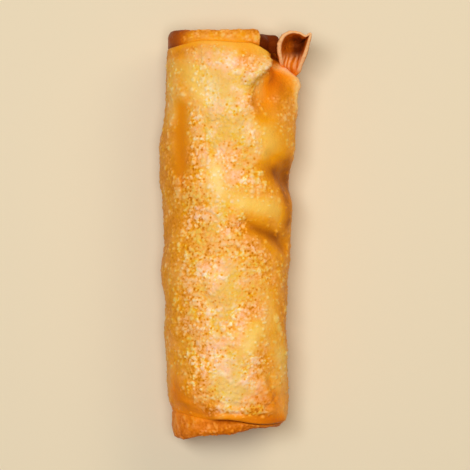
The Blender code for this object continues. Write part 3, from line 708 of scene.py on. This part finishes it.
def fried_crust(name, roughness):
    """The fried sheet's material. It reads what the mesh says of toast and painted shade, blisters and
    cut edges, and adds painted light and shade round the blisters.
    """
    crust = bpy.data.materials.new(name)
    crust.use_nodes = True
    tree = crust.node_tree
    shader = tree.nodes["Principled BSDF"]
    place = new_node(tree, "ShaderNodeTexCoord").outputs["Object"]

    def told(name):
        """What the mesh says of each place under this name."""
        return new_node(tree, "ShaderNodeAttribute", attribute_name=name).outputs["Fac"]

    def mottle(size, detail, low, high, soft=0.2):
        """Clouds of one size, from low to high."""
        cloud = noise_clouds(tree, place, size, detail)
        return remapped(tree, cloud.outputs[0], (0.5 - soft, 0.5 + soft), (low, high))

    def tinted(colour, tint, share, way="MIX"):
        """A colour with some of a tint over it."""
        mix = new_node(tree, "ShaderNodeMix", data_type="RGBA", blend_type=way)
        feed(tree, mix.inputs["Factor"], share)
        feed(tree, mix.inputs["A"], colour)
        feed(tree, mix.inputs["B"], (*tint, 1))
        return mix.outputs["Result"]

    # How toasted each place is, with the painted shade of the flanks, hollows and crevices in it.
    browned_and_shaded = told("browned_and_shaded")
    puffed = told("puffed")
    crowded = told("crowded")
    rough_skin = told("blistered")
    mottled = sum_of(tree, "MULTIPLY_ADD", rough_skin, 1 - SMOOTH_MOTTLED, SMOOTH_MOTTLED)
    toast_and_shading = browned_and_shaded
    for size, detail, depth in TOAST_CLOUDS:
        toast_and_shading = sum_of(tree, "MULTIPLY_ADD", mottle(size, detail, -depth, depth), mottled, toast_and_shading)
    size, detail, depth = TOAST_SPECKLE
    toast_and_shading = sum_of(tree, "MULTIPLY_ADD", mottle(size, detail, -depth, depth), rough_skin, toast_and_shading)
    toast_and_shading = sum_of(tree, "MULTIPLY_ADD", crowded, CROWDED_BROWNED_SHADED, toast_and_shading)
    toast_and_shading = sum_of(tree, "MULTIPLY_ADD", sum_of(tree, "MULTIPLY", puffed, mottled), -PUFFED_PALER_LIT, toast_and_shading)
    pores = voronoi_cells(tree, place, 1 / PORE_SPACING)
    pore = remapped(tree, pores.outputs["Distance"], (PORE_RIM, PORE_HOLE), (0.0, PORE_STRENGTH))
    spot = sum_of(tree, "MULTIPLY", pore, rough_skin)
    toast_and_shading = sum_of(tree, "MULTIPLY_ADD", spot, sum_of(tree, "SUBTRACT", PORE_BROWNED, toast_and_shading), toast_and_shading)
    ramp = new_node(tree, "ShaderNodeValToRGB")
    stops = ramp.color_ramp.elements
    while len(stops) < len(TOASTING):
        stops.new(0.5)
    palest = TOASTING[0][0]
    for stop, (share, colour) in zip(stops, TOASTING):
        stop.position = (share - palest) / (1 - palest)
        stop.color = (*colour, 1)
    ramp_place = sum_of(tree, "DIVIDE", sum_of(tree, "SUBTRACT", toast_and_shading, palest), 1 - palest)
    feed(tree, ramp.inputs[0], ramp_place)
    reddened = told("reddened")
    tintable = sum_of(tree, "MULTIPLY", remapped(tree, toast_and_shading, (TINT_FROM, TINT_TO)), rough_skin)
    colour = ramp.outputs[0]
    for tint, size, detail, share, soft in TINTS:
        clouds = mottle(size, detail, 0.0, share, soft)
        colour = tinted(colour, tint, sum_of(tree, "MULTIPLY", clouds, tintable))
    colour = tinted(colour, REDDENED, reddened, "MULTIPLY")
    cut = told("cut")
    colour = tinted(colour, CUT_EDGE, cut)
    feed(tree, shader.inputs["Base Color"], colour)

    dull = mottle(OIL_SIZE, 2.0, roughness + OILY, roughness + DRY)
    dull = sum_of(tree, "MULTIPLY_ADD", puffed, PUFFED_ROUGHNESS, dull)
    feed(tree, shader.inputs["Roughness"], dull)
    pimples = voronoi_cells(tree, place, 1 / PIMPLE_SIZE, "SMOOTH_F1")
    feed(tree, pimples.inputs["Smoothness"], 0.3)
    grain = noise_clouds(tree, place, GRAIN_SIZE)
    grains = sum_of(tree, "MULTIPLY", grain.outputs[0], 0.5)
    skin = sum_of(tree, "MULTIPLY_ADD", pimples.outputs["Distance"], -0.8, grains)
    bump = new_node(tree, "ShaderNodeBump")
    feed(tree, bump.inputs["Strength"], 0.6)
    feed(tree, bump.inputs["Distance"], 0.22 * MM)
    feed(tree, bump.inputs["Height"], skin)
    feed(tree, shader.inputs["Normal"], bump.outputs[0])

    shader.inputs["Subsurface Weight"].default_value = 0.08
    shader.inputs["Subsurface Radius"].default_value = (1.0, 0.45, 0.15)
    shader.inputs["Subsurface Scale"].default_value = 1.2 * MM
    shader.inputs["Specular Tint"].default_value = (1.0, 0.72, 0.28, 1)
    shader.inputs["IOR"].default_value = 1.27
    return crust


raise_blisters(outer_wrap, fried_crust("fried_wrap", WRAP_ROUGHNESS))
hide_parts("spring_roll")
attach(outer_wrap, "root")


# The tucked ends: the sheet's sides were folded in over the filling before it was rolled up, so
# at each end the inner turns stand out of the wrap in a rounded rim and wind in to a sunken
# middle. They fry harder than the rest, because they are thin and stick out.
END_ROUND = 2.4 * MM  # how far from its tip the rim begins to round over
END_CORNER = 1.5 * MM  # and how far it comes in on the way
END_INSIDE = 0.5 * LENGTH - 12 * MM  # where its skin closes inside the roll
END_MIDDLE = 0.5 * LENGTH - 2.4 * MM
END_HOLLOW = 2.4 * MM
BOTTOM_SLANT = 4.0 * MM
TOP_STEP = 1.1 * MM
RIM_WAVE = 0.3 * MM
SPIRAL_PITCH = 0.32
SPIRAL_DEPTH = 1.3 * MM
RIM_BROWNED = 0.10  # how much browner over the rim
FACE_BROWNED = 0.52
SPIRAL_DARKER = 0.30  # and how much darker in the spiral's grooves
# How much darker the top end's low parts are: scorching, and painted shade.
LEFT_SCORCHED_SHADED = 0.74
SCORCHED_SHADED_BROWNED = 0.62
SCORCHED_SHADED_REDDENED = 1.35
END_BLISTERED = 0.45
END_PUFF = 0.8
END_ROUGHNESS = 0.5
END_COLUMNS = 250
CREVICE_ROWS = 8
CREVICE = {TOP: 0.5 * MM, BOTTOM: 0.9 * MM}
# Painted shade in the crevice where the wrap's edge gapes over the end.
CREVICE_SHADE = 0.45
INSIDE_REACH, INSIDE_DROP = 3.0 * MM, 1.8 * MM  # how far the skin runs on inside the wrap
RIM_LEAST = 0.6 * MM  # how far the rim stands out of the wrap at the least
END_LUMP, END_LUMP_SIZE = 0.4 * MM, 7 * MM
END_CRUMPLE, END_CRUMPLE_SIZE = 0.2 * MM, 2.5 * MM
ROUND_ROWS = 16
FACE_ROWS = 78


def end_tip(side, angle):
    """How far out along Y each part of an end's rim reaches."""
    right = np.cos(angle)
    if side == BOTTOM:
        return 0.5 * LENGTH - BOTTOM_SLANT * 0.5 * (1 + right) + RIM_WAVE * np.sin(5 * angle)
    return 0.5 * LENGTH - TOP_STEP * top_short(angle) - RIM_WAVE * (1 - np.sin(3 * angle))


def tucked_end(name, side, crust):
    """One end's inner turns, from inside the wrap out over their rim and in to the sunken middle."""
    angle = seam_angle(0.5 * LENGTH) - TURN * (np.arange(END_COLUMNS) + 0.5) / END_COLUMNS
    edge = side * wrap_edge(side, angle)
    tip = end_tip(side, angle)
    bends = np.sin(0.25 * TURN * np.linspace(0, 1, ROUND_ROWS))
    gape = parted(side, angle)
    rows = []
    # Inside the wrap, up out of the crevice at its edge, and along to where the rim rounds over.
    straight = np.maximum(tip - END_ROUND - edge, RIM_LEAST)
    for step in np.linspace(-1, 1, CREVICE_ROWS):
        out = edge + np.where(step < 0, INSIDE_REACH * step, step * straight)
        sunk = CREVICE[side] * gape * math.exp(-((step / 0.45) ** 2)) + INSIDE_DROP * max(-step, 0)
        # Painted shade in the crevice under the gaping edge.
        shaded = CREVICE_SHADE * gape * math.exp(-((step / 0.3) ** 2))
        rows.append((out, tuck_radius(side, angle, side * out) - sunk, END_BROWNED[side] + shaded))
    for bend in bends[1:]:
        inward = END_CORNER * (1 - math.sqrt(1 - bend**2))
        out = np.maximum(tip - END_ROUND * (1 - bend), edge + 0.7 * MM)
        rounded = tuck_radius(side, angle, side * out) - inward
        rows.append((out, rounded, END_BROWNED[side] + RIM_BROWNED * bend))
    # The end's face, with the turns wound in it as a spiral.
    turned = turn_share(angle, side * edge)
    for k in range(1, FACE_ROWS):
        share = 1 - k / FACE_ROWS
        phase = (1 - share) / SPIRAL_PITCH - turned
        fold = 0.5 - 0.5 * np.cos(TURN * phase)
        fade = smooth(1.0, 0.85, share) * smooth(0.1, 0.35, share)
        sink = SPIRAL_DEPTH * fold**0.7 * fade + END_HOLLOW * (1 - share**2) ** 1.5
        out = share * tip + (1 - share) * END_MIDDLE - sink
        radius = share * (tuck_radius(side, angle, side * out) - END_CORNER)
        face_browned = END_BROWNED[side] + (FACE_BROWNED - END_BROWNED[side]) * smooth(0.95, 0.6, share)
        # Darker in the spiral's grooves and towards the sunken middle.
        face_browned = face_browned + 0.12 + SPIRAL_DARKER * fold * fade + 0.10 * (1 - share)
        rows.append((out, radius, face_browned))
    out = np.stack([row[0] for row in rows])
    radius = np.stack([row[1] for row in rows])
    browned_and_shaded = np.stack([0 * angle + row[2] for row in rows])
    around = np.repeat(angle[None, :], len(rows), axis=0)
    # The top end's lower layer at the right and its left corner are darker: scorched, and painted shade
    # where they lie low beside the rim.
    scorched_and_shaded = top_short(around) + LEFT_SCORCHED_SHADED * smooth(-0.62, -0.90, np.cos(around))
    scorched_and_shaded = scorched_and_shaded * smooth(0.72, 0.93, radius / radius.max(axis=0)) * (side == TOP)
    browned_and_shaded = browned_and_shaded + SCORCHED_SHADED_BROWNED * scorched_and_shaded
    place = unbent(radius, around, side * out)
    outside = smooth(0.0, 1.0 * MM, out - edge)
    crumples = END_CRUMPLE * waves(place, END_CRUMPLE_SIZE, 3 * SEED)
    lift = END_LUMP * waves(place, END_LUMP_SIZE, 3 * SEED) + crumples
    rings = around_axis(radius, around, side * (out + outside * lift))
    inner = around_axis(0.0, 0.0, np.array(side * END_INSIDE))
    outer = around_axis(0.0, 0.0, np.array(side * (END_MIDDLE - END_HOLLOW)))
    reddened = np.clip(END_REDDENED[side] + SCORCHED_SHADED_REDDENED * scorched_and_shaded, 0, 1)
    blistered = END_BLISTERED * outside * np.clip(1 - 1.6 * scorched_and_shaded, 0, 1)
    values = {"browned_and_shaded": browned_and_shaded, "blistered": blistered, "reddened": reddened}
    end = closed_skin(name, rings, inner, outer, values)
    raise_blisters(end, crust, END_PUFF)
    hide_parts("spring_roll")
    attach(end, "root")


tucked_end("bottom_tuck", BOTTOM, fried_crust("fried_bottom_tuck", END_ROUGHNESS))
tucked_end("top_tuck", TOP, fried_crust("fried_top_tuck", END_ROUGHNESS))


# The curled corner: the sheet's free corner came unstuck in the hot oil, lifted off the right shoulder
# and rolled over into a little scoop that stands up beside the top end. It is one layer thick, so its rim
# is thin, and its inside fried dark, with painted shade deep inside it and on its right.

# The rim, from the very corner on round: how far right of the roll's axis, along it and up each
# point is, and how thick the sheet is there, in mm.
CURL_RIM = (
    (24.9, 59.4, 27.6, 0.7),
    (23.3, 58.8, 27.0, 0.6),
    (21.6, 59.7, 26.6, 0.6),
    (19.3, 60.0, 26.0, 0.8),
    (17.1, 59.1, 25.2, 1.1),
    (15.9, 57.1, 24.2, 1.3),
    (15.7, 54.6, 22.8, 1.3),
    (16.2, 52.4, 21.2, 1.1),
    (16.6, 50.6, 19.0, 1.2),
    (17.6, 48.8, 17.4, 1.2),
    (19.4, 47.8, 17.2, 1.2),
    (21.1, 48.4, 19.5, 1.2),
    (22.1, 50.6, 21.6, 1.2),
    (23.0, 52.8, 23.4, 1.2),
    (23.8, 55.2, 25.0, 1.1),
    (24.4, 57.4, 26.6, 0.9),
)
CURL_BED = np.array((20.4, 56.2)) * MM
CURL_KEEL = np.array((17.5, 44.5, 14.0)) * MM  # inside the roll
CURL_KEEL_SIZE = 0.3
CURL_KEEL_TILT = 0.6
# How high the scoop's floor is at places along it, in mm.
CURL_FLOOR = ((47, 18.2), (49, 20.3), (51, 20.5), (53, 18.9), (56, 16.0), (60, 15.6))
PLEAT_DEPTH = 0.2 * MM
PLEAT_BROWNED = 0.4  # for each mm that a pleat stands proud
CURL_OUTSIDE_BROWNED = 0.66
CURL_RIM_PALER = 0.14  # towards the rim
CURL_INSIDE_BROWNED = 0.50
CURL_DEEP_SHADE, CURL_RIGHT_SHADE = 0.06, 0.52  # painted shade deep inside it, and more on the right there, under the overhanging wall
CURL_BLISTERED = 0.25
CURL_REDDENED = 0.9
CURL_PUFF = 0.5
CURL_ROUGHNESS = 0.7
BUCKLE, BUCKLE_SIZE = 0.15 * MM, 3.5 * MM
BUCKLE_WAY = (0.6, 0.3, 0.7)  # how far across, along and up the thin sheet gives
CURL_COLUMNS = 180
CURL_ROWS = 60


def curl_rim(columns):
    """The rim's middle line and thickness, as one smooth loop through its points."""
    knots = np.array(CURL_RIM) * MM
    at = np.arange(columns) / columns * len(knots)
    k = at.astype(int)
    t = (at - k)[:, None]
    a, b, c, d = (knots[(k + step) % len(knots)] for step in (-1, 0, 1, 2))
    return b + 0.5 * t * (c - a + t * (2 * a - 5 * b + 4 * c - d + t * (3 * (b - c) + d - a)))


rim = curl_rim(CURL_COLUMNS)
rim_line, rim_height, rim_thick = rim[:, :2], rim[:, 2:3], rim[:, 3:]
run = np.roll(rim_line, -1, axis=0) - np.roll(rim_line, 1, axis=0)
outward = np.stack([run[:, 1], -run[:, 0]], axis=1) / np.linalg.norm(run, axis=1, keepdims=True)
curl_rings = []
curl_browned_and_shaded = []
curl_cut = []
from_bed = rim_line - CURL_BED
keel = CURL_KEEL[:2] + CURL_KEEL_SIZE * from_bed * (1, 0)
keel_up = CURL_KEEL[2] - CURL_KEEL_TILT * (from_bed[:, 1:] - from_bed[:, 1:].mean())
outer_line = rim_line + 0.5 * rim_thick * outward
rim_speckle = waves(np.concatenate([rim_line, rim_height], axis=1), 0.9 * MM)
rim_ends = np.where(rim_line[:, 0] > 20.3 * MM, 48.0 * MM, 50.0 * MM)  # where it turns into the wrap
rim_floury = np.clip(1.0 + 0.4 * rim_speckle, 0, 1) * smooth(0, 1.5 * MM, rim_line[:, 1] - rim_ends)
for t in np.linspace(0, 1, CURL_ROWS):
    line = outer_line + (1 - t) ** 3 * (keel - outer_line)
    curl_rings.append(np.concatenate([line, keel_up + t * t * (rim_height - keel_up)], axis=1))
    curl_browned_and_shaded.append(np.full(CURL_COLUMNS, CURL_OUTSIDE_BROWNED - CURL_RIM_PALER * t))
    curl_cut.append(np.full(CURL_COLUMNS, 0.0))
for bend in np.linspace(0, 0.5 * TURN, 9)[1:-1]:
    line = rim_line + 0.5 * math.cos(bend) * rim_thick * outward
    curl_rings.append(np.concatenate([line, rim_height + 0.5 * math.sin(bend) * rim_thick], axis=1))
    curl_browned_and_shaded.append(np.full(CURL_COLUMNS, CURL_INSIDE_BROWNED))
    curl_cut.append(math.sin(bend) ** 0.5 * rim_floury)
inner_line = rim_line - 0.5 * rim_thick * outward
floor_along, floor_height = (np.array(part) * MM for part in zip(*CURL_FLOOR))
for t in np.linspace(1, 0, CURL_ROWS)[:-1]:
    line = CURL_BED + (inner_line - CURL_BED) * t
    floor = np.interp(line[:, 1:], floor_along, floor_height)
    pleats = PLEAT_DEPTH * pleated(line[:, :1], line[:, 1:])
    height = floor + (rim_height - floor) * t**3.5 + pleats * (1 - t**4)
    curl_rings.append(np.concatenate([line, height], axis=1))
    deep = smooth(51 * MM, 55 * MM, line[:, 1]) * (1 - t**5)
    right = smooth(17.5 * MM, 22 * MM, line[:, 0])
    # Painted shade deep in the scoop, most on its right.
    darker = deep * (CURL_DEEP_SHADE + CURL_RIGHT_SHADE * right)
    curl_browned_and_shaded.append(CURL_INSIDE_BROWNED + darker + PLEAT_BROWNED * pleats[:, 0] / MM)
    floury = smooth(55 * MM, 52.5 * MM, line[:, 1]) * smooth(48.5 * MM, 50.5 * MM, line[:, 1])
    curl_cut.append(floury * np.clip(0.25 - pleats[:, 0] / MM * 2, 0, 0.6))
curl_rings = np.stack(curl_rings) - ORIGIN
curl_browned_and_shaded = np.stack(curl_browned_and_shaded)
buckle = BUCKLE * waves(curl_rings, BUCKLE_SIZE)
curled_corner = closed_skin(
    "curled_corner",
    curl_rings + buckle[..., None] * np.array(BUCKLE_WAY),
    CURL_KEEL - ORIGIN,
    np.array((*CURL_BED, np.interp(CURL_BED[1], floor_along, floor_height))) - ORIGIN,
    {
        "browned_and_shaded": curl_browned_and_shaded,
        "blistered": CURL_BLISTERED + 0 * curl_browned_and_shaded,
        "reddened": CURL_REDDENED + 0 * curl_browned_and_shaded,
        "cut": np.stack(curl_cut),
    },
)
raise_blisters(curled_corner, fried_crust("fried_corner", CURL_ROUGHNESS), CURL_PUFF)
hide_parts("spring_roll")
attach(curled_corner, "root")


# The table: a plain matt sheet in cream, wide enough to fill every view. The roll lies straight
# on it, on its flat strip.
TABLE_SIZE = 6.0
TABLE_COLOUR = (0.80, 0.70, 0.52)
table_mesh = bpy.data.meshes.new("table")
corners = [(x * TABLE_SIZE, y * TABLE_SIZE, 0.0) for x, y in ((-1, -1), (1, -1), (1, 1), (-1, 1))]
table_mesh.from_pydata(corners, [], [(0, 1, 2, 3)])
table = bpy.data.objects.new("table", table_mesh)
bpy.context.scene.collection.objects.link(table)
table_paint = bpy.data.materials.new("table_paint")
table_paint.use_nodes = True
table_paint.node_tree.nodes["Principled BSDF"].inputs["Base Color"].default_value = (*TABLE_COLOUR, 1)
table_paint.node_tree.nodes["Principled BSDF"].inputs["Roughness"].default_value = 0.8
table_mesh.materials.append(table_paint)


# The light: one soft white box overhead, a little to the left of the camera, and a dimmer, warmer
# one from the upper right, in a warm pale room.
def soft_box(name, place, size, power, colour):
    """A rectangular lamp that points at the roll."""
    light = bpy.data.lights.new(name, "AREA")
    light.color = colour
    light.shape = "RECTANGLE"
    light.size, light.size_y = size
    light.energy = power
    box = bpy.data.objects.new(name, light)
    box.location = place
    box.rotation_euler = (-Vector(place)).to_track_quat("-Z", "Y").to_euler()
    bpy.context.scene.collection.objects.link(box)


soft_box("key_light", (-0.08, 0.05, 0.85), (0.20, 0.50), 5.4, (1, 1, 1))
soft_box("fill_light", (0.45, 0.55, 0.60), (0.60, 0.30), 2.1, (1, 0.82, 0.55))
room = bpy.data.worlds.new("warm_room")
room.use_nodes = True
room.node_tree.nodes["Background"].inputs["Color"].default_value = (1, 0.86, 0.62, 1)
room.node_tree.nodes["Background"].inputs["Strength"].default_value = 0.15
bpy.context.scene.world = room
bpy.context.scene.view_settings.view_transform = "Standard"
